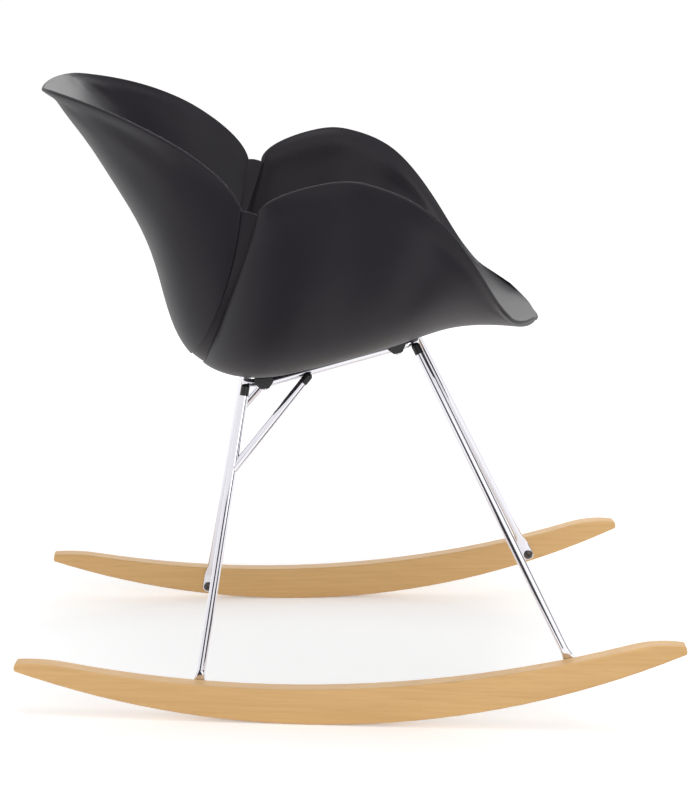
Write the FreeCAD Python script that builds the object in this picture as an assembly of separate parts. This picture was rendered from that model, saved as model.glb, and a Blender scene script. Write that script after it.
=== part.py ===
import FreeCAD, Part
import math
import os

# Rocking armchair: a moulded petal shell on a bent tube base with two beech rockers.
# Millimetres, +Z up, the sitter faces -Y and X runs to the sitter's side.
# The origin is on the floor, midway between the two lines where the rockers stand.

Vec = FreeCAD.Vector

# clearances
seat_gap = 0.3          # between curved faces that are welded or clamped together
slip_gap = 0.05         # radial, round screws and inserts

# rockers
rocker_radius = 1000.0  # underside
rocker_top_radius = 1400.0
rocker_depth = 41.5     # beam depth over the floor line
rocker_top_shift = 26.0  # the upper curve is lowest this far behind the floor line
rocker_rear = 344.0     # reach behind the floor line
rocker_front = 406.0    # reach in front of it
rocker_thickness = 20.0
rocker_spacing = 443.0  # between the two beams' middles at the floor line
rocker_toe = 3.2        # degrees each rocker is turned out toward the front
nose_height = 8.5       # blunt end of a rocker
nose_run_front = 62.0   # length over which the upper edge turns down to the nose
nose_run_rear = 58.0
rocker_edge = 2.2       # rounding of the long edges
rest_lean = 1.27        # degrees the chair rolls back until its weight is over the floor line

# tubes
tube_radius = 5.0
tube_wall = 1.5
tube_bore = tube_radius - tube_wall
cap_wall = 0.8
swage_radius = tube_radius - cap_wall    # narrowed end under a cap
weld_radius = 0.55 * tube_radius
cap_height = 14.0

# seat ring under the shell
ring_half_width = 106.8
ring_bend = 12.0
ring_rear_y = 82.0
ring_rear_z = 364.3
ring_rear_slope = 5.0   # degrees the side runs rise over the rear mounts
ring_front_slope = 15.4
ring_knee_y = 56.0      # where a side run turns up to the steeper slope
ring_knee_radius = 30.0
ring_front_y = -99.0    # where the front corners begin

# legs: where the axis passes beside the ring, and the bolt in the rocker
leg_turn_rear = 34.0    # where round the ring's corner a leg stands, from the side run
leg_turn_front = 27.0
leg_end_rear_z = 352.5  # top of the tube, below its cap
leg_end_front_z = 400.0
bolt_rear_s = -141.5    # along the rocker, from the floor line
bolt_front_s = 286.5
bolt_lift = 11.5        # bolt axis above the rocker's underside
press_half_width = 7.0  # flattened end of a leg
press_half_thick = 1.6
press_reach = 15.0      # from the bolt up to the crease
press_blend = 20.0      # from the crease up to the round tube

# braces
brace_foot_z = 271.0    # height of the joint on the rear leg
brace_top_y = 12.5
brace_rise_gap = 4.0    # the brace passes the ring this far below the run's axis
brace_below = 8.5       # from there down to the end of the full tube

# shell mounts on the ring's side runs
mount_rear_y = 61.5
mount_front_y = -89.0
mount_top_rear = tube_radius + 1.5       # above the tube's axis, closed over the tube
mount_top_front = tube_radius - 0.5      # open above, where the shell lies on the tube
mount_foot = 6.7        # below the tube's axis
mount_long = 21.0
mount_foot_long = 10.0
mount_wide = 18.0
mount_foot_wide = 11.0
boss_radius = 7.5
boss_root = 2.4         # how deep the boss runs into the shell wall

# fasteners
screw_radius = 2.5
screw_head_radius = 4.5
screw_head_height = 3.0
insert_radius = 3.5
insert_length = 3.5
bolt_radius = 3.0
bolt_head_radius = 6.0
bolt_head_height = 3.4
bolt_length = 15.5      # below the head
wood_insert_radius = 4.6
wood_insert_length = 13.0

# shell
wall = 4.5
band_recess_out = 1.5   # the band between back petal and bucket lies this much lower
band_recess_in = 1.0
heart_rows = 6          # rows of the skin from an open edge to its safe middle
flare_reach = 15.0      # width of the rim that is turned outward
flare_blend = 130.0     # from the rim to where the skin is back on its section

# Stations of the shell from the seat's front edge round to the top of the back.
# rim x, y, z; middle y, z; side angle; squareness; bow; outward turn of the rim
bucket = [
    (115, -242, 437, -258, 426, 30, 2.0, 0.0, 0.0),
    (200, -213, 450, -229, 426, 56, 2.2, 0.0, 0.5),
    (238, -190, 475, -189, 426, 58, 2.2, 0.0, 2.5),
    (287, -160, 526, -139, 424.2, 71, 2.4, 0.0, 5.0),
    (316, -111, 585, -80, 408.8, 85, 2.6, 0.0, 6.5),
    (309, -57, 612, -13, 390, 81, 2.8, 0.0, 6.5),
    (301, -16, 616.5, 52, 377, 77, 3.0, 0.0, 6.0),
    (287, 38, 602, 101, 376, 72, 2.9, -0.4, 4.0),
    (261, 64.5, 578, 132, 385, 67, 2.7, -0.8, 0.5),
]
band = [
    (258, 74, 581.5, 139, 392.5, 65, 2.9, -6.0, 0.5),
]
petal = [
    (255, 83, 582, 146, 401, 62, 3.1, -11.5, 0.5),
    (258, 105, 615, 162, 424, 63, 2.9, -7.7, 2.0),
    (256, 139, 642, 174, 459, 64, 2.7, -3.8, 4.0),
    (250, 173, 661, 187, 508, 65, 2.5, 0.0, 5.0),
    (220, 222, 681, 211, 565, 77, 2.6, 0.0, 5.0),
    (165, 277, 695, 251, 628, 86, 2.5, 0.0, 4.0),
    (110, 301, 695.5, 307.5, 698.5, 74, 2.0, 0.0, 3.0),
]
# positions across the shell, from the middle (0) to the rim (1)
across = [0.0, 0.1, 0.2, 0.3, 0.4, 0.5, 0.6, 0.7, 0.79, 0.87, 0.93, 0.965, 0.985, 1.0]


def solve(matrix, columns):
    """Gauss elimination; each right-hand entry is a vector."""
    n = len(matrix)
    m = [row[:] for row in matrix]
    r = [Vec(c) for c in columns]
    for i in range(n):
        p = max(range(i, n), key=lambda k: abs(m[k][i]))
        m[i], m[p] = m[p], m[i]
        r[i], r[p] = r[p], r[i]
        for k in range(i + 1, n):
            f = m[k][i] / m[i][i]
            if f:
                for j in range(i, n):
                    m[k][j] -= f * m[i][j]
                r[k] -= r[i] * f
    for i in reversed(range(n)):
        for j in range(i + 1, n):
            r[i] -= r[j] * m[i][j]
        r[i] = r[i] / m[i][i]
    return r


def knot_vector(values, degree):
    """Flat knots of an interpolating spline through the given parameters."""
    n = len(values)
    inner = [sum(values[i + 1:i + 1 + degree]) / degree for i in range(n - degree - 1)]
    return [values[0]] * (degree + 1) + inner + [values[-1]] * (degree + 1)


def basis(i, degree, t, knots):
    if degree == 0:
        last = knots[i + 1] == knots[-1] and knots[i] < knots[i + 1]
        return 1.0 if knots[i] <= t < knots[i + 1] or (t == knots[-1] and last) else 0.0
    total = 0.0
    if knots[i + degree] > knots[i]:
        total += (t - knots[i]) / (knots[i + degree] - knots[i]) * basis(i, degree - 1, t, knots)
    if knots[i + degree + 1] > knots[i + 1]:
        total += ((knots[i + degree + 1] - t) / (knots[i + degree + 1] - knots[i + 1])
                  * basis(i + 1, degree - 1, t, knots))
    return total


def spline_poles(rows, values, degree, knots):
    """Poles along the first index of a grid of points."""
    matrix = [[basis(j, degree, t, knots) for j in range(len(values))] for t in values]
    columns = [solve(matrix, [row[k] for row in rows]) for k in range(len(rows[0]))]
    return [[columns[k][i] for k in range(len(rows[0]))] for i in range(len(rows))]


def split_knots(flat):
    knots = sorted(set(flat))
    return knots, [flat.count(k) for k in knots]


def surface(rows, us, vs):
    """Spline surface through a grid of points: rows follow us, columns follow vs."""
    du = min(3, len(us) - 1)
    dv = min(3, len(vs) - 1)
    ku = knot_vector(us, du)
    kv = knot_vector(vs, dv)
    poles = spline_poles(rows, us, du, ku)
    turned = [list(c) for c in zip(*poles)]
    poles = [list(c) for c in zip(*spline_poles(turned, vs, dv, kv))]
    knots_u, mults_u = split_knots(ku)
    knots_v, mults_v = split_knots(kv)
    made = Part.BSplineSurface()
    made.buildFromPolesMultsKnots(poles, mults_u, mults_v, knots_u, knots_v, False, False, du, dv)
    return made


def station_point(station, w):
    """Point of a cross-section; w runs from -1 over the middle (0) to 1 at the rims."""
    rx, ry, rz, my, mz, angle, square, bow = station[:8]
    full = math.radians(angle)
    a = full * abs(w) ** (square / 2.0)
    x = (math.sin(a) / math.sin(full)) ** (2.0 / square)
    h = ((1 - math.cos(a)) / (1 - math.cos(full))) ** (square / 2.0)
    dy = ry - my
    dz = rz - mz
    length = math.hypot(dy, dz)
    b = bow * 4 * h * (1 - h) / length
    return Vec(math.copysign(rx * x, w), my + dy * h + b * dz, mz + dz * h - b * dy)


def unit(v):
    return v * (1.0 / v.Length)


def refine(first, last, near_first, near_last):
    """Half steps from first to last, closer together at an open edge."""
    steps = [first + 0.5 * i for i in range(int(2 * (last - first)) + 1)]
    if near_first:
        steps[1:1] = [first + 0.06, first + 0.2]
    if near_last:
        steps[-1:-1] = [last - 0.2, last - 0.06]
    return steps


def drawn_in(base, u, w, open_ends):
    """Place on a region moved in from its open edges by the rim's half-round."""
    side = math.copysign(1.0, w)
    strip = base.value(u, side).distanceToPoint(base.value(u, 0.93 * side))
    w *= 1 - 0.07 * wall / 2 / strip
    for end, inward in open_ends:
        run = (u - end) * inward
        if run < 1:
            speed = base.value(end, w).distanceToPoint(base.value(end + 0.2 * inward, w)) / 0.2
            u += inward * (1 - run) * wall / 2 / speed
    return u, w


def skin_normal(base, stations, u, w, open_ends):
    """Outward direction; near an open end it is read one station in, where the
    section's lines still cross the rim at an angle."""
    for end, inward in open_ends:
        if (u - end) * inward < 1:
            near = int(end)
            here = abs(base.value(u, 1.0).x)
            w *= here / stations[near + inward][0]
            u = end + inward
    return base.normal(u, w)


def skins(stations, open_first, open_last):
    """Outer grid of one region with its directions, and the rim turned outward."""
    ws = [-w for w in reversed(across[1:])] + across
    index = [float(i) for i in range(len(stations))]
    base = surface([[station_point(s, w) for w in ws] for s in stations], index, ws)
    us = refine(index[0], index[-1], open_first, open_last)
    open_ends = [(us[0], 1)] * open_first + [(us[-1], -1)] * open_last
    turn = surface([[Vec(s[8], 0, 0) for w in (0.0, 1.0)] for s in stations], index, [0.0, 1.0])
    outer = []
    for u in us:
        row = []
        for w in ws:
            at_u, at_w = drawn_in(base, u, w, open_ends)
            p = base.value(at_u, at_w)
            n = skin_normal(base, stations, at_u, at_w, open_ends)
            reach = p.distanceToPoint(base.value(u, math.copysign(1.0, w)))
            if open_last:
                reach = min(reach, p.distanceToPoint(base.value(index[-1], w)))
            fade = min(1.0, max(0.0, reach - flare_reach) / (flare_blend - flare_reach))
            drop = turn.value(u, 0.0).x * min(1.0, reach / flare_reach) ** 1.5
            drop *= 1 - fade * fade * (3 - 2 * fade)
            row.append((p - n * drop, n))
        outer.append(row)
    return us, ws, outer


def rim_round(out_point, in_point, away):
    """Half-round across the wall's edge, from the outer to the inner skin."""
    middle = (out_point + in_point) * 0.5
    side = (out_point - in_point) * 0.5
    lift = unit(away) * side.Length
    points = []
    for k in range(9):
        a = math.pi * k / 8
        points.append(middle + side * math.cos(a) + lift * math.sin(a))
    return points


def tangent(points, i):
    a = points[max(i - 1, 0)]
    b = points[min(i + 1, len(points) - 1)]
    return unit(b - a)


def away_from(points, normals, i, inside):
    t = tangent(points, i)
    b = t.cross(normals[i])
    if b.dot(inside) > 0:
        b = b * -1.0
    return unit(b)


def region(stations, open_first, open_last, recess_out=0.0, recess_in=0.0):
    """One region of the shell: its skins and the rounded edges that are open."""
    us, ws, grid = skins(stations, open_first, open_last)
    top = [[p - n * recess_out for p, n in row] for row in grid]
    low = [[p - n * (wall - recess_in) for p, n in row] for row in grid]
    normals = [[n for p, n in row] for row in grid]
    last = len(us) - 1
    end = len(ws) - 1

    lowest = heart_rows if open_first else 0
    highest = last - heart_rows if open_last else last

    def inside(i, j):
        return top[min(max(i, lowest), highest)][end // 2] - top[i][j]

    def side_away(i, j):
        column = [row[j] for row in top]
        return away_from(column, [row[j] for row in normals], i, inside(i, j))

    def edge_away(i, j):
        return away_from(top[i], normals[i], j, inside(i, j))

    def corner_away(i, j):
        return unit(side_away(i, j) + edge_away(i, j))

    opened = ([0] if open_first else []) + ([last] if open_last else [])
    faces = [surface(top, us, ws), surface(low, us, ws)]
    arcs = [math.pi * k / 8 for k in range(9)]
    for j in (0, end):
        strip = []
        for i in range(len(us)):
            b = corner_away(i, j) if i in opened else side_away(i, j)
            strip.append(rim_round(top[i][j], low[i][j], b))
        faces.append(surface(strip, us, arcs))
    for i in opened:
        strip = []
        for j in range(len(ws)):
            b = corner_away(i, j) if j in (0, end) else edge_away(i, j)
            strip.append(rim_round(top[i][j], low[i][j], b))
        faces.append(surface(strip, ws, arcs))
    loops = {}
    for i in (0, last):
        ends = [rim_round(top[i][j], low[i][j], side_away(i, j)) for j in (0, end)]
        loops[i] = (top[i], low[i], ends[0], ends[1])
    return faces, (loops[0], loops[last]), ws, arcs


def step_faces(loop_a, loop_b, ws, arcs):
    """Ruled walls between the edge loops of two neighbouring regions."""
    made = []
    for a, b, values in zip(loop_a, loop_b, (ws, ws, arcs, arcs)):
        made.append(surface([a, b], [0.0, 1.0], values))
    return made


def shell_blank():
    first, loops_first, ws, arcs = region(bucket, True, False)
    middle, loops_middle, ws, arcs = region(
        [bucket[-1], band[0], petal[0]], False, False, band_recess_out, band_recess_in)
    rear, loops_rear, ws, arcs = region(petal, False, True)
    faces = first + middle + rear
    faces += step_faces(loops_first[1], loops_middle[0], ws, arcs)
    faces += step_faces(loops_middle[1], loops_rear[0], ws, arcs)
    skin = Part.makeShell([f.toShape() for f in faces])
    skin.sewShape()
    body = Part.makeSolid(skin)
    if body.Volume < 0:
        body.reverse()
    return body


def mirrored(shape):
    return shape.mirror(Vec(0, 0, 0), Vec(1, 0, 0))


def rod(start, end, radius):
    axis = end - start
    return Part.makeCylinder(radius, axis.Length, start, axis)


def run_tube(radius, point, heading, moves):
    """Tube through straight runs and bends; a bend is (radius, degrees, side it turns to)."""
    pieces = []
    for move in moves:
        if len(move) == 1:
            pieces.append(Part.makeCylinder(radius, move[0], point, heading))
            point = point + heading * move[0]
            continue
        bend, degrees, side = move
        centre = point + side * bend
        axis = heading.cross(side)
        disc = Part.Face(Part.Wire(Part.makeCircle(radius, point, heading)))
        pieces.append(disc.revolve(centre, axis, degrees))
        turn = FreeCAD.Rotation(axis, degrees)
        point = centre + turn.multVec(point - centre)
        heading = turn.multVec(heading)
    body = pieces[0]
    for piece in pieces[1:]:
        body = body.fuse(piece)
    return body.removeSplitter(), point, heading


def slope_vector(degrees):
    """Forward along a side run that rises by this angle."""
    a = math.radians(degrees)
    return Vec(0, -math.cos(a), math.sin(a))


def slope_normal(degrees):
    a = math.radians(degrees)
    return Vec(0, math.sin(a), math.cos(a))


def ring_moves():
    """Right half of the seat ring, from the middle of the rear run to the middle of the front."""
    straight = ring_half_width - ring_bend
    rear = math.radians(ring_rear_slope)
    front = math.radians(ring_front_slope)
    flat = (ring_rear_y - ring_bend * math.cos(rear) - ring_knee_y) / math.cos(rear)
    knee_end = ring_knee_y - ring_knee_radius * (math.sin(front) - math.sin(rear))
    return [
        (straight,),
        (ring_bend, 90.0, slope_vector(ring_rear_slope)),
        (flat,),
        (ring_knee_radius, ring_front_slope - ring_rear_slope, slope_normal(ring_rear_slope)),
        ((knee_end - ring_front_y) / math.cos(front),),
        (ring_bend, 90.0, Vec(-1, 0, 0)),
        (straight,),
    ]


def ring_half(radius, count=7):
    """Right half of the ring as a rod, and the point and heading after so many moves."""
    start = Vec(0, ring_rear_y, ring_rear_z)
    return run_tube(radius, start, Vec(1, 0, 0), ring_moves()[:count])


def ring_solid(radius):
    half = ring_half(radius)[0]
    return half.fuse(mirrored(half)).removeSplitter()


def side_run(y):
    """Point and rise of the right side run's axis at a distance from the middle."""
    on_flat = y > ring_knee_y
    point, heading = ring_half(tube_radius, 2 if on_flat else 4)[1:]
    point = point + heading * ((y - point.y) / heading.y)
    return point, ring_rear_slope if on_flat else ring_front_slope


def corner_seat(front):
    """Axis point of a ring corner, and of the leg that stands against its outside."""
    start = Vec(ring_half_width - ring_bend, ring_rear_y, ring_rear_z)
    forward = slope_vector(ring_rear_slope)
    turn = math.radians(leg_turn_front if front else leg_turn_rear)
    if front:
        start = ring_half(tube_radius)[1] + Vec(ring_half_width - ring_bend, 0, 0)
        forward = slope_vector(ring_front_slope) * -1.0
    hub = start + forward * ring_bend
    out = Vec(math.cos(turn), 0, 0) - forward * math.sin(turn)
    on_ring = hub + out * ring_bend
    return on_ring, on_ring + out * (2 * tube_radius + seat_gap)


# frame of the right rocker: along, outward and up
toe = math.radians(rocker_toe)
along = Vec(math.sin(toe), -math.cos(toe), 0)
outward = Vec(math.cos(toe), math.sin(toe), 0)


def underside(s):
    return rocker_radius - math.sqrt(rocker_radius ** 2 - s ** 2)


def upperside(s):
    drop = math.sqrt(rocker_top_radius ** 2 - (s + rocker_top_shift) ** 2)
    return rocker_depth + rocker_top_radius - drop


def upper_slope(s):
    t = s + rocker_top_shift
    return t / math.sqrt(rocker_top_radius ** 2 - t ** 2)


def on_rocker(s, z, depth):
    """Point of the right rocker; depth is measured inward from its inner face."""
    middle = Vec(rocker_spacing / 2, 0, 0)
    return middle + along * s + Vec(0, 0, z) - outward * (rocker_thickness / 2 + depth)


def arc_from_tangent(start, direction, end):
    """Arc that leaves start in a direction and passes through end, in a plane x = const."""
    chord = end - start
    side = Vec(1, 0, 0).cross(direction)
    radius = chord.Length ** 2 / (2 * chord.dot(side))
    centre = start + side * radius
    middle = unit((start + end) * 0.5 - centre) * abs(radius)
    return Part.Arc(start, centre + middle, end).toShape()


def rocker():
    def at(s, z):
        return Vec(0, -s, z)

    rear_low = at(-rocker_rear, underside(rocker_rear))
    front_low = at(rocker_front, underside(rocker_front))
    rear_nose = rear_low + Vec(0, -1.5, nose_height)
    front_nose = front_low + Vec(0, 1.5, nose_height)
    s_front = rocker_front - nose_run_front
    s_rear = -rocker_rear + nose_run_rear
    top_front = at(s_front, upperside(s_front))
    top_rear = at(s_rear, upperside(s_rear))
    s_mid = (s_front + s_rear) / 2
    edges = [
        Part.Arc(rear_low, at(0, 0), front_low).toShape(),
        Part.makeLine(front_low, front_nose),
        arc_from_tangent(top_front, unit(Vec(0, -1, upper_slope(s_front))), front_nose),
        Part.Arc(top_front, at(s_mid, upperside(s_mid)), top_rear).toShape(),
        arc_from_tangent(top_rear, unit(Vec(0, 1, -upper_slope(s_rear))), rear_nose),
        Part.makeLine(rear_nose, rear_low),
    ]
    outline = Part.Wire(Part.__sortEdges__(edges))
    beam = Part.Face(outline).extrude(Vec(rocker_thickness, 0, 0))
    beam.translate(Vec(-rocker_thickness / 2, 0, 0))
    noses = [e for e in beam.Edges if is_nose(e)]
    beam = beam.makeFillet(3.2, noses)
    long_edges = [e for e in beam.Edges if abs(abs(e.BoundBox.XMin) - rocker_thickness / 2) < 0.01
                  and e.BoundBox.XLength < 0.01]
    beam = beam.makeFillet(rocker_edge, long_edges)
    beam.rotate(Vec(0, 0, 0), Vec(0, 0, 1), rocker_toe)
    beam.translate(Vec(rocker_spacing / 2, 0, 0))
    for s in (bolt_rear_s, bolt_front_s):
        mouth = on_rocker(s, underside(s) + bolt_lift, 0.0)
        hole = rod(mouth - outward, mouth + outward * (wood_insert_length + 1.0),
                   wood_insert_radius + slip_gap)
        beam = beam.cut(hole)
    return beam


def is_nose(edge):
    box = edge.BoundBox
    return box.XLength > rocker_thickness - 0.1 and (box.YMax > rocker_rear - 6
                                                     or box.YMin < -rocker_front + 6)


def wood_insert(s):
    """Threaded sleeve in the inner face, with a thin collar flush with the wood."""
    mouth = on_rocker(s, underside(s) + bolt_lift, 0.0)
    sleeve = rod(mouth, mouth + outward * wood_insert_length, wood_insert_radius)
    bore = rod(mouth - outward, mouth + outward * (wood_insert_length + 1), bolt_radius + slip_gap)
    return sleeve.cut(bore)


def rocker_bolt(s):
    """Round-head bolt with a hexagon socket, through the flattened leg into the sleeve."""
    mouth = on_rocker(s, underside(s) + bolt_lift, 2 * press_half_thick)
    shank = rod(mouth, mouth + outward * bolt_length, bolt_radius)
    head = round_head(bolt_head_radius, bolt_head_height, 2.0, 2.2)
    return place_head(head, mouth, outward * -1.0).fuse(shank)


def dome(radius, height, flank):
    """Round stub on z = 0 with a spherical top that starts at the flank's height."""
    rise = height - flank
    ball = (radius ** 2 + rise ** 2) / (2 * rise)
    centre = Vec(0, 0, height - ball)
    shoulder = Vec(radius, 0, flank)
    top = Vec(0, 0, height)
    middle = centre + unit(shoulder + top - centre * 2) * ball
    edges = [
        Part.makeLine(Vec(0, 0, 0), Vec(radius, 0, 0)),
        Part.makeLine(Vec(radius, 0, 0), shoulder),
        Part.Arc(shoulder, middle, top).toShape(),
        Part.makeLine(top, Vec(0, 0, 0)),
    ]
    return Part.Face(Part.Wire(edges)).revolve(Vec(0, 0, 0), Vec(0, 0, 1), 360)


def round_head(radius, height, socket, depth):
    """Domed head standing on z = 0, with a hexagon socket in its top."""
    corners = []
    for k in range(7):
        a = math.radians(60 * k)
        corners.append(Vec(socket * math.cos(a), socket * math.sin(a), height - depth))
    hexagon = Part.Face(Part.makePolygon(corners)).extrude(Vec(0, 0, depth + 1))
    return dome(radius, height, 0.25 * height).cut(hexagon)


def place_head(shape, point, direction):
    turned = shape.copy()
    turned.Placement = FreeCAD.Placement(point, FreeCAD.Rotation(Vec(0, 0, 1), direction))
    return turned


def pressed_wire(centre, across_axis, thick_axis, half_width, half_thick, power):
    """Closed outline between a circle (power 2) and a flattened tube."""
    points = []
    for k in range(24):
        a = 2 * math.pi * k / 24
        c = math.cos(a)
        s = math.sin(a)
        u = math.copysign(abs(c) ** (2.0 / power), c) * half_width
        v = math.copysign(abs(s) ** (2.0 / power), s) * half_thick
        points.append(centre + across_axis * u + thick_axis * v)
    curve = Part.BSplineCurve()
    curve.interpolate(points, PeriodicFlag=True)
    return Part.Wire(curve.toShape())


def leg_line(front):
    """Bolt point in the tab, crease at its top, and the axis point beside the ring."""
    s = bolt_front_s if front else bolt_rear_s
    bolt = on_rocker(s, underside(s) + bolt_lift, press_half_thick)
    ring_side = corner_seat(front)[1]
    rise = ring_side - bolt
    in_face = unit(rise - outward * rise.dot(outward))
    crease = bolt + in_face * press_reach
    return bolt, in_face, crease, ring_side


def leg_shoulder(front):
    """Axis point where the full tube ends and its cap begins, and the axis direction."""
    crease, ring_side = leg_line(front)[2:]
    direction = unit(ring_side - crease)
    z = leg_end_front_z if front else leg_end_rear_z
    return crease + direction * ((z - crease.z) / direction.z), direction


def swaged_end(shoulder, direction, ring_point):
    """Narrowed tube end under the cap, and the weld that ties it to the ring."""
    core = rod(shoulder - direction * 2, shoulder + direction * (cap_height - 2.5), swage_radius)
    start = weld_start(shoulder, direction)
    weld = rod(start, start + unit(ring_point - start) * 2 * tube_radius, weld_radius)
    return core, weld.cut(ring_solid(tube_radius + seat_gap))


def end_cap(shoulder, direction, ring_point):
    """Black sleeve with a domed top, open on the side where the tube is welded."""
    cap = dome(tube_radius, cap_height, cap_height - 3.5)
    cap = place_head(cap, shoulder, direction)
    bore = rod(shoulder - direction, shoulder + direction * (cap_height - 2.2),
               swage_radius + slip_gap)
    start = weld_start(shoulder, direction)
    window = rod(start, start + unit(ring_point - start) * 2 * tube_radius,
                 weld_radius + seat_gap)
    return cap.cut(bore).cut(window)


def foot_outline(bolt, in_face, reach):
    """Prism with a round foot about the bolt, a little wider than the pressed tube."""
    half = press_half_width + 0.05
    side = in_face.cross(outward) * half
    far = in_face * reach
    base = outward * (-2 * tube_radius)
    points = [far - side, side * -1.0, in_face * -half, side, far + side]
    points = [bolt + base + q for q in points]
    edges = [
        Part.makeLine(points[0], points[1]),
        Part.Arc(points[1], points[2], points[3]).toShape(),
        Part.makeLine(points[3], points[4]),
        Part.makeLine(points[4], points[0]),
    ]
    return Part.Face(Part.Wire(edges)).extrude(outward * (4 * tube_radius))


def leg(front):
    """Round tube pressed flat at the foot, narrowed and welded to the ring at the top."""
    bolt, in_face, crease, ring_side = leg_line(front)
    shoulder, direction = leg_shoulder(front)
    neck = crease + direction * press_blend
    width = in_face.cross(outward)
    wires = []
    for k, power in ((0.0, 7.0), (0.35, 4.0), (0.7, 2.6), (1.0, 2.0)):
        ease = k * k * (3 - 2 * k)
        half_width = press_half_width + (tube_radius - press_half_width) * ease
        half_thick = press_half_thick + (tube_radius - press_half_thick) * ease
        axis = unit(in_face + (direction - in_face) * min(1.0, 2 * k))
        flat = unit(width.cross(axis))
        wires.append(pressed_wire(crease + direction * press_blend * k,
                                  unit(axis.cross(flat)), flat, half_width, half_thick, power))
    tab = Part.Face(wires[0]).extrude(in_face * (-press_reach - press_half_width))
    tab = tab.common(foot_outline(bolt, in_face, press_reach + 5))
    tab = tab.cut(rod(bolt - outward * 5, bolt + outward * 5, bolt_radius + 0.2))
    tube = Part.Face(wires[-1]).extrude(shoulder - neck)
    bore = rod(neck + direction * 3, shoulder + direction, tube_bore)
    body = Part.makeLoft(wires, True).fuse(tube).cut(bore).fuse(tab)
    ring_point = corner_seat(front)[0]
    core, weld = swaged_end(shoulder, direction, ring_point)
    return body.fuse(core).fuse(weld)


def brace_line():
    """Foot on the rear leg's axis, shoulder under the cap, and the axis direction."""
    shoulder, direction = leg_shoulder(False)
    foot = shoulder + direction * ((brace_foot_z - shoulder.z) / direction.z)
    beside, rise = side_run(brace_top_y)
    beside = beside + Vec(2 * tube_radius + seat_gap, 0, -brace_rise_gap)
    line = unit(beside - foot)
    return foot, beside - line * brace_below, line


def brace():
    foot, shoulder, line = brace_line()
    near = side_run(brace_top_y)[0]
    core, weld = swaged_end(shoulder, line, near)
    body = rod(foot, shoulder, tube_radius)
    body = body.cut(rod(foot - line * 4 * tube_radius, shoulder + line, tube_bore))
    body = body.fuse(core).fuse(weld)
    top, direction = leg_shoulder(False)
    beyond = foot - direction * 4 * tube_radius
    return body.cut(rod(top, beyond, tube_radius + seat_gap))


def weld_start(shoulder, direction):
    return shoulder + direction * (cap_height - 5.5)


def mount_frame(y):
    """Axis point, forward direction and upward normal of a mount on the right side run."""
    point, rise = side_run(y)
    return point, slope_vector(rise), slope_normal(rise)


def seat_ring():
    """Closed tube ring, drilled for the four shell screws."""
    half = ring_half(tube_radius)[0].cut(ring_half(tube_bore)[0])
    for y in (mount_rear_y, mount_front_y):
        point, forward, up = mount_frame(y)
        half = half.cut(rod(point - up * 10, point + up * 10, screw_radius + 0.3))
    return half.fuse(mirrored(half))


def mount_top(y):
    return mount_top_rear if y > 0 else mount_top_front


def boss_face(y):
    """Height above the run's axis at which a boss of the shell ends."""
    return max(mount_top(y), tube_radius + seat_gap)


def narrowing_prism(point, along, deep, up, top, length, foot_length):
    """Prism with upright ends that slant in below the tube's axis."""
    outline = [
        point + up * top - along * (length / 2),
        point + up * top + along * (length / 2),
        point + up + along * (length / 2),
        point - up * mount_foot + along * (foot_length / 2),
        point - up * mount_foot - along * (foot_length / 2),
        point + up - along * (length / 2),
    ]
    near = [q - deep * mount_long for q in outline]
    return Part.Face(Part.makePolygon(near + near[:1])).extrude(deep * 2 * mount_long)


def mount(y):
    """Black saddle block around the side run, tapered both ways to a narrow foot."""
    point, forward, up = mount_frame(y)
    wide = Vec(1, 0, 0)
    top = mount_top(y)
    block = narrowing_prism(point, forward, wide, up, top, mount_long, mount_foot_long)
    block = block.common(narrowing_prism(point, wide, forward, up, top, mount_wide,
                                         mount_foot_wide))
    soft = [e for e in block.Edges if not touches_top(e, point + up * top, up)]
    block = block.makeFillet(1.2, soft)
    block = block.cut(ring_half(tube_radius + seat_gap)[0])
    return block.cut(rod(point - up * 20, point + up * 20, screw_radius + 0.2))


def touches_top(edge, top, up):
    return max((v.Point - top).dot(up) for v in edge.Vertexes) > -0.01


def shell_screw(y):
    """Domed screw from below, through saddle and tube into the insert."""
    point, forward, up = mount_frame(y)
    low = point - up * mount_foot
    reach = mount_foot + boss_face(y) + insert_length - 0.5
    head = place_head(round_head(screw_head_radius, screw_head_height, 1.5, 1.8), low, up * -1.0)
    return head.fuse(rod(low, low + up * reach, screw_radius))


def shell_insert(y):
    point, forward, up = mount_frame(y)
    mouth = point + up * boss_face(y)
    sleeve = rod(mouth, mouth + up * insert_length, insert_radius)
    return sleeve.cut(rod(mouth - up, mouth + up * (insert_length + 1), screw_radius + slip_gap))


def seat_shell():
    """Petal shell with its four screw bosses."""
    body = shell_blank()
    for y in (mount_rear_y, mount_front_y):
        point, forward, up = mount_frame(y)
        probe = Part.makeLine(point, point + up * ring_half_width)
        hits = [(v.Point - point).dot(up) for v in body.common(probe).Vertexes]
        mouth = point + up * boss_face(y)
        boss = rod(mouth, point + up * (min(hits) + boss_root), boss_radius)
        hole = rod(mouth - up, mouth + up * (insert_length + 0.3), insert_radius + slip_gap)
        body = body.fuse(boss).fuse(mirrored(boss))
        body = body.cut(hole).cut(mirrored(hole))
    return body


def save(shape, name):
    """Write one node, rolled back on the rockers to where the chair comes to rest."""
    solid = shape.Solids[0].copy()
    solid.rotate(Vec(0, 0, rocker_radius), Vec(1, 0, 0), -rest_lean)
    solid.exportStep("parts/" + name + ".step")
    print(name, solid.isValid(), len(shape.Solids), round(solid.Volume))


def save_pair(shape, name):
    save(shape, name + "_right")
    save(mirrored(shape), name + "_left")


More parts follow.
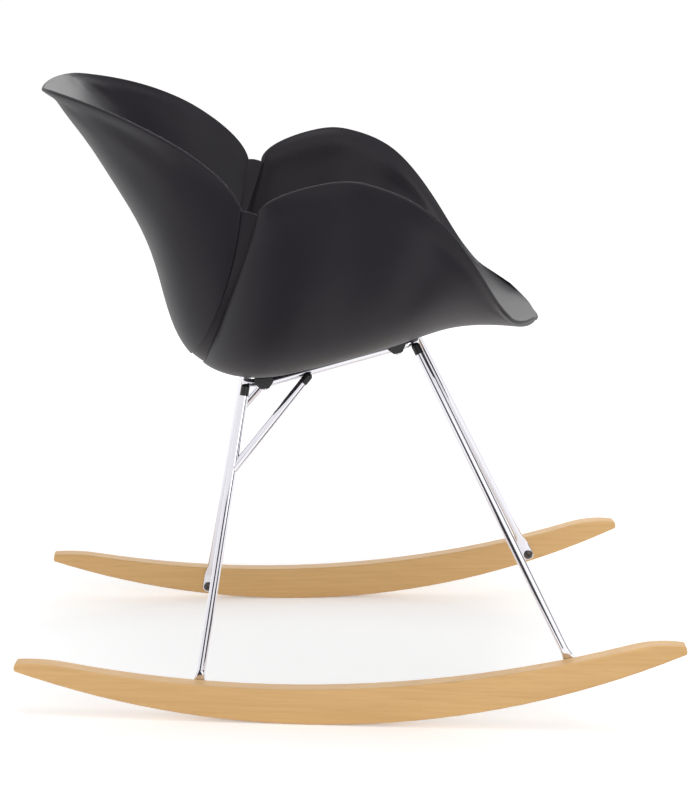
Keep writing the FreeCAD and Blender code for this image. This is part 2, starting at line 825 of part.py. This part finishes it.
os.makedirs("parts", exist_ok=True)
save(seat_shell(), "seat_shell")
save(seat_ring(), "seat_ring")
save_pair(rocker(), "rocker")
save_pair(leg(False), "leg_rear")
save_pair(leg(True), "leg_front")
save_pair(brace(), "brace")
save_pair(end_cap(*leg_shoulder(False), corner_seat(False)[0]), "cap_rear")
save_pair(end_cap(*leg_shoulder(True), corner_seat(True)[0]), "cap_front")
save_pair(end_cap(*brace_line()[1:], side_run(brace_top_y)[0]), "cap_brace")
for place, y in (("rear", mount_rear_y), ("front", mount_front_y)):
    save_pair(mount(y), "mount_" + place)
    save_pair(shell_screw(y), "shell_screw_" + place)
    save_pair(shell_insert(y), "shell_insert_" + place)
for place, s in (("rear", bolt_rear_s), ("front", bolt_front_s)):
    save_pair(rocker_bolt(s), "rocker_bolt_" + place)
    save_pair(wood_insert(s), "wood_insert_" + place)
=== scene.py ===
import bpy
import math
from mathutils import Matrix, Vector

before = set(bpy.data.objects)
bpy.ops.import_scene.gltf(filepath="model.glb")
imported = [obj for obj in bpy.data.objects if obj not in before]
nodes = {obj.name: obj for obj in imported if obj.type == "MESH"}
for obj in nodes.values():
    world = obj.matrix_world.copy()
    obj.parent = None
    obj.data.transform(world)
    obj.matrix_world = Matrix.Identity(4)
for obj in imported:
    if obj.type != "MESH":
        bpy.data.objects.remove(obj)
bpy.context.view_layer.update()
print("stage 1: frame loaded,", len(nodes), "pieces")


# Small helpers for building node materials

def newMaterial(name):
    mat = bpy.data.materials.new(name)
    mat.use_nodes = True
    tree = mat.node_tree
    return mat, tree, tree.nodes["Principled BSDF"]


def addNode(tree, kind, **settings):
    node = tree.nodes.new(kind)
    for key, value in settings.items():
        setattr(node, key, value)
    return node


def makeNoise(tree, scale, detail, stretch=(1.0, 1.0, 1.0)):
    coords = addNode(tree, "ShaderNodeTexCoord")
    mapping = addNode(tree, "ShaderNodeMapping")
    mapping.inputs["Scale"].default_value = stretch
    noise = addNode(tree, "ShaderNodeTexNoise")
    noise.inputs["Scale"].default_value = scale
    noise.inputs["Detail"].default_value = detail
    tree.links.new(coords.outputs["Object"], mapping.inputs["Vector"])
    tree.links.new(mapping.outputs["Vector"], noise.inputs["Vector"])
    return noise.outputs["Fac"]


def makeTint(tree, source, span, first, second):
    # a ramp from one colour to another over a noise
    tint = addNode(tree, "ShaderNodeValToRGB")
    for element, place, colour in zip(tint.color_ramp.elements, span, (first, second)):
        element.position = place
        element.color = (*colour, 1.0)
    tree.links.new(source, tint.inputs["Fac"])
    return tint.outputs["Color"]


def addBump(tree, bsdf, source, strength, depth):
    bump = addNode(tree, "ShaderNodeBump")
    bump.inputs["Strength"].default_value = strength
    bump.inputs["Distance"].default_value = depth
    tree.links.new(source, bump.inputs["Height"])
    tree.links.new(bump.outputs["Normal"], bsdf.inputs["Normal"])


def dress(names, mat):
    for name in names:
        obj = nodes[name]
        obj.data.materials.clear()
        obj.data.materials.append(mat)


# Moulded shell: matt black plastic with a faint grained skin

shellLook = {"dark": (0.0150, 0.0124, 0.0172), "light": (0.0185, 0.0159, 0.0207),
             "toneSize": 6.0, "toneDetail": 3.0, "toneSpan": (0.35, 0.65),
             "roughness": 0.45, "gloss": 0.23,
             "grainSize": 900.0, "grainDetail": 2.0, "grainStrength": 0.25,
             "grainDepth": 0.00012}  # metres


def makeShellPlastic():
    mat, tree, bsdf = newMaterial("mattBlackPlastic")
    tones = makeNoise(tree, shellLook["toneSize"], shellLook["toneDetail"])
    tint = makeTint(tree, tones, shellLook["toneSpan"], shellLook["dark"], shellLook["light"])
    tree.links.new(tint, bsdf.inputs["Base Color"])
    bsdf.inputs["Roughness"].default_value = shellLook["roughness"]
    bsdf.inputs["Specular IOR Level"].default_value = shellLook["gloss"]
    grain = makeNoise(tree, shellLook["grainSize"], shellLook["grainDetail"])
    addBump(tree, bsdf, grain, shellLook["grainStrength"], shellLook["grainDepth"])
    return mat


dress(["seat_shell"], makeShellPlastic())
print("stage 2: shell dressed")


# Chrome tubes and screws, with a slight haze that runs along the tubes

chromeLook = {"colour": (0.80, 0.79, 0.84), "polish": 0.03, "haze": 0.07,
              "hazeSize": 30.0, "hazeDetail": 3.0, "hazeStretch": (1.0, 1.0, 0.2)}


def makeChrome():
    mat, tree, bsdf = newMaterial("polishedChrome")
    bsdf.inputs["Base Color"].default_value = (*chromeLook["colour"], 1.0)
    bsdf.inputs["Metallic"].default_value = 1.0
    haze = makeNoise(tree, chromeLook["hazeSize"], chromeLook["hazeDetail"],
                     chromeLook["hazeStretch"])
    spread = addNode(tree, "ShaderNodeMapRange")
    spread.inputs["To Min"].default_value = chromeLook["polish"]
    spread.inputs["To Max"].default_value = chromeLook["haze"]
    tree.links.new(haze, spread.inputs["Value"])
    tree.links.new(spread.outputs["Result"], bsdf.inputs["Roughness"])
    return mat


chromePieces = [n for n in nodes if n.startswith(("leg_", "brace_", "seat_ring", "shell_screw"))]
dress(chromePieces, makeChrome())
print("stage 3: tubes dressed,", len(chromePieces), "pieces")


# Rockers: clear-lacquered beech with long grain and short darker flecks

beechLook = {"pale": (0.781, 0.483, 0.201), "warm": (0.717, 0.425, 0.168),
             "grainSize": 16.0, "grainDetail": 8.0, "grainStretch": (8.0, 0.45, 16.0),
             "grainSpan": (0.30, 0.62), "fleck": (0.545, 0.296, 0.104), "fleckShare": 0.28,
             "fleckSize": 110.0, "fleckDetail": 2.0, "fleckStretch": (4.0, 0.10, 5.0),
             "fleckSpan": (0.60, 0.74), "roughness": 0.42,
             "poreStrength": 0.08, "poreDepth": 0.0004}  # metres


def makeBeech():
    mat, tree, bsdf = newMaterial("lacqueredBeech")
    grain = makeNoise(tree, beechLook["grainSize"], beechLook["grainDetail"],
                      beechLook["grainStretch"])
    tint = makeTint(tree, grain, beechLook["grainSpan"], beechLook["warm"], beechLook["pale"])
    flecks = makeNoise(tree, beechLook["fleckSize"], beechLook["fleckDetail"],
                       beechLook["fleckStretch"])
    mask = makeTint(tree, flecks, beechLook["fleckSpan"], (0.0,) * 3,
                    (beechLook["fleckShare"],) * 3)
    mix = addNode(tree, "ShaderNodeMix", data_type="RGBA")
    mix.inputs["B"].default_value = (*beechLook["fleck"], 1.0)
    tree.links.new(mask, mix.inputs["Factor"])
    tree.links.new(tint, mix.inputs["A"])
    tree.links.new(mix.outputs["Result"], bsdf.inputs["Base Color"])
    bsdf.inputs["Roughness"].default_value = beechLook["roughness"]
    addBump(tree, bsdf, grain, beechLook["poreStrength"], beechLook["poreDepth"])
    return mat


dress(["rocker_right", "rocker_left"], makeBeech())
print("stage 4: rockers dressed")


# Black caps and saddles, blackened bolts, brass sleeves

trimLook = {"black": (0.012, 0.012, 0.013), "blackRoughness": 0.34, "steel": (0.085, 0.078, 0.072),
            "steelRoughness": 0.36, "brass": (0.62, 0.44, 0.18), "brassRoughness": 0.35,
            "cloudSize": 60.0, "cloudDetail": 2.0, "cloudSpan": (0.3, 0.7), "cloudLift": 1.25}


def makeTrim(name, colour, metallic, roughness):
    mat, tree, bsdf = newMaterial(name)
    cloud = makeNoise(tree, trimLook["cloudSize"], trimLook["cloudDetail"])
    lighter = tuple(trimLook["cloudLift"] * c for c in colour)
    tint = makeTint(tree, cloud, trimLook["cloudSpan"], colour, lighter)
    tree.links.new(tint, bsdf.inputs["Base Color"])
    bsdf.inputs["Metallic"].default_value = metallic
    bsdf.inputs["Roughness"].default_value = roughness
    return mat


blackTrim = makeTrim("blackTrim", trimLook["black"], 0.0, trimLook["blackRoughness"])
blackSteel = makeTrim("blackenedSteel", trimLook["steel"], 1.0, trimLook["steelRoughness"])
brass = makeTrim("brass", trimLook["brass"], 1.0, trimLook["brassRoughness"])
dress([n for n in nodes if n.startswith(("cap_", "mount_"))], blackTrim)
dress([n for n in nodes if n.startswith("rocker_bolt")], blackSteel)
dress([n for n in nodes if "insert" in n], brass)
print("stage 5: trim dressed")


# Studio: pale paper floor and white surroundings

studioLook = {"paper": (0.95, 0.95, 0.95), "paperSize": 30.0,  # metres from the middle to each edge
              "cloudSize": 3.0, "cloudDetail": 2.0, "cloudSpan": (0.0, 1.0), "cloudLift": 1.01,
              "paperGlow": 0.29, "skyLight": 0.77, "skySeen": 1.0}


def makeSheet(name, corners, faces, mat):
    mesh = bpy.data.meshes.new(name)
    mesh.from_pydata(corners, [], faces)
    mesh.materials.append(mat)
    obj = bpy.data.objects.new(name, mesh)
    bpy.context.scene.collection.objects.link(obj)
    return obj


def addSeenMask(tree):
    # one wherever the camera looks, straight on or by way of a mirror or glass
    path = addNode(tree, "ShaderNodeLightPath")
    mask = path.outputs["Is Camera Ray"]
    for name in ("Is Glossy Ray", "Is Transmission Ray"):
        larger = addNode(tree, "ShaderNodeMath", operation="MAXIMUM")
        tree.links.new(mask, larger.inputs[0])
        tree.links.new(path.outputs[name], larger.inputs[1])
        mask = larger.outputs["Value"]
    return mask


def makePaper():
    mat, tree, bsdf = newMaterial("paperWhite")
    cloud = makeNoise(tree, studioLook["cloudSize"], studioLook["cloudDetail"])
    lighter = tuple(studioLook["cloudLift"] * c for c in studioLook["paper"])
    tint = makeTint(tree, cloud, studioLook["cloudSpan"], studioLook["paper"], lighter)
    tree.links.new(tint, bsdf.inputs["Base Color"])
    bsdf.inputs["Roughness"].default_value = 1.0
    bsdf.inputs["Specular IOR Level"].default_value = 0.0
    # the paper is lifted toward white where it is looked at, and its shadows stay
    glow = addNode(tree, "ShaderNodeEmission")
    lift = addNode(tree, "ShaderNodeMath", operation="MULTIPLY")
    lift.inputs[1].default_value = studioLook["paperGlow"]
    both = addNode(tree, "ShaderNodeAddShader")
    tree.links.new(addSeenMask(tree), lift.inputs[0])
    tree.links.new(lift.outputs["Value"], glow.inputs["Strength"])
    tree.links.new(bsdf.outputs["BSDF"], both.inputs[0])
    tree.links.new(glow.outputs["Emission"], both.inputs[1])
    tree.links.new(both.outputs["Shader"], tree.nodes["Material Output"].inputs["Surface"])
    mat.cycles.emission_sampling = "NONE"
    return mat


def makeFloor():
    size = studioLook["paperSize"]
    corners = [(-size, -size, 0), (size, -size, 0), (size, size, 0), (-size, size, 0)]
    makeSheet("floor", corners, [(0, 1, 2, 3)], makePaper())


def makeSky():
    world = bpy.data.worlds.new("studio")
    bpy.context.scene.world = world
    world.use_nodes = True
    tree = world.node_tree
    soft = tree.nodes["Background"]
    seen = addNode(tree, "ShaderNodeBackground")
    for background, strength in ((soft, studioLook["skyLight"]), (seen, studioLook["skySeen"])):
        background.inputs["Color"].default_value = (1.0, 1.0, 1.0, 1.0)
        background.inputs["Strength"].default_value = strength
    blend = addNode(tree, "ShaderNodeMixShader")
    tree.links.new(addSeenMask(tree), blend.inputs["Fac"])
    tree.links.new(soft.outputs["Background"], blend.inputs[1])
    tree.links.new(seen.outputs["Background"], blend.inputs[2])
    tree.links.new(blend.outputs["Shader"], tree.nodes["World Output"].inputs["Surface"])


# Black flags that only mirrors see and that draw the dark lines in the chrome.
# turn and width are degrees, with turn measured from the camera's side.
# A flag with low at zero also runs in along the floor

flagPlaces = [{"turn": -23.0, "width": 32.0, "low": 0.0, "high": 1.2},
              {"turn": 52.0, "width": 25.0, "low": 0.0, "high": 1.2},
              {"turn": 115.0, "width": 60.0, "low": 1.0, "high": 3.4}]
flagLook = {"tint": (0.06, 0.06, 0.065), "near": 0.34, "reach": 3.6, "lift": 0.002}  # metres


def corner(way, reach, height):
    return (reach * way[0], reach * way[1], height)


def makeFlags():
    reach, near = flagLook["reach"], flagLook["near"]
    mat, tree, bsdf = newMaterial("blackFlag")
    bsdf.inputs["Base Color"].default_value = (*flagLook["tint"], 1.0)
    bsdf.inputs["Roughness"].default_value = 1.0
    bsdf.inputs["Specular IOR Level"].default_value = 0.0
    for k, place in enumerate(flagPlaces):
        low = max(place["low"], flagLook["lift"])
        sides = [place["turn"] + side * place["width"] / 2 for side in (-1, 1)]
        angles = [math.radians(180.0 + side) for side in sides]
        one, two = [(math.cos(a), math.sin(a)) for a in angles]
        corners = [corner(one, reach, low), corner(two, reach, low),
                   corner(two, reach, place["high"]), corner(one, reach, place["high"])]
        faces = [(0, 1, 2, 3)]
        if place["low"] == 0.0:
            corners += [corner(one, near, low), corner(two, near, low)]
            faces.append((0, 1, 5, 4))
        flag = makeSheet("flag" + str(k + 1), corners, faces, mat)
        flag.visible_camera = False
        flag.visible_diffuse = False
        flag.visible_shadow = False


# Soft lamps: metres and watts

lampPlaces = [{"name": "key", "place": (-0.35, 0.05, 2.4), "target": (0.0, 0.0, 0.3),
               "size": (1.0, 1.0), "power": 10.0},
              {"name": "fill", "place": (-2.4, -1.6, 1.2), "target": (0.0, 0.0, 0.4),
               "size": (1.2, 1.2), "power": 9.0},
              {"name": "rim", "place": (2.6, -0.3, 1.25), "target": (0.0, 0.0, 0.45),
               "size": (1.6, 0.6), "power": 6.5}]


def makeLamp(name, place, target, size, power):
    data = bpy.data.lights.new(name, "AREA")
    data.shape = "RECTANGLE"
    data.size, data.size_y = size
    data.energy = power
    lamp = bpy.data.objects.new(name, data)
    lamp.location = place
    lamp.rotation_mode = "QUATERNION"
    aim = Vector(target) - Vector(place)
    lamp.rotation_quaternion = aim.to_track_quat("-Z", "Y")
    bpy.context.scene.collection.objects.link(lamp)


makeFloor()
makeFlags()
makeSky()
for settings in lampPlaces:
    makeLamp(**settings)
print("stage 6: studio set")


# Camera at the photograph's place; the lean is the chair's own roll on its rockers at rest

cameraLook = {"place": (-2.3298, 0.0436, 0.8587), "yaw": -2.053, "pitch": 13.015,
              "lean": 1.27, "hub": 1.0,  # degrees, and the height of the roll's axis in metres
              "lens": 90.0, "sensor": 36.0, "clip": (0.1, 200.0)}


def makeCamera():
    data = bpy.data.cameras.new("camera")
    data.lens = cameraLook["lens"]
    data.sensor_width = cameraLook["sensor"]
    data.sensor_fit = "AUTO"
    data.clip_start, data.clip_end = cameraLook["clip"]
    cam = bpy.data.objects.new("camera", data)
    yaw, pitch = math.radians(cameraLook["yaw"]), math.radians(cameraLook["pitch"])
    ahead = Vector((math.cos(yaw) * math.cos(pitch), math.sin(yaw) * math.cos(pitch),
                    -math.sin(pitch)))
    right = Vector((math.sin(yaw), -math.cos(yaw), 0.0))
    up = right.cross(ahead)
    turn = Matrix((right, up, -ahead)).transposed().to_4x4()
    place = Matrix.Translation(Vector(cameraLook["place"])) @ turn
    hub = Matrix.Translation(Vector((0.0, 0.0, cameraLook["hub"])))
    lean = Matrix.Rotation(-math.radians(cameraLook["lean"]), 4, "X")
    cam.matrix_world = hub @ lean @ hub.inverted() @ place
    bpy.context.scene.collection.objects.link(cam)
    bpy.context.scene.camera = cam


makeCamera()
bpy.context.scene.view_settings.view_transform = "Standard"
print("stage 7: camera set")
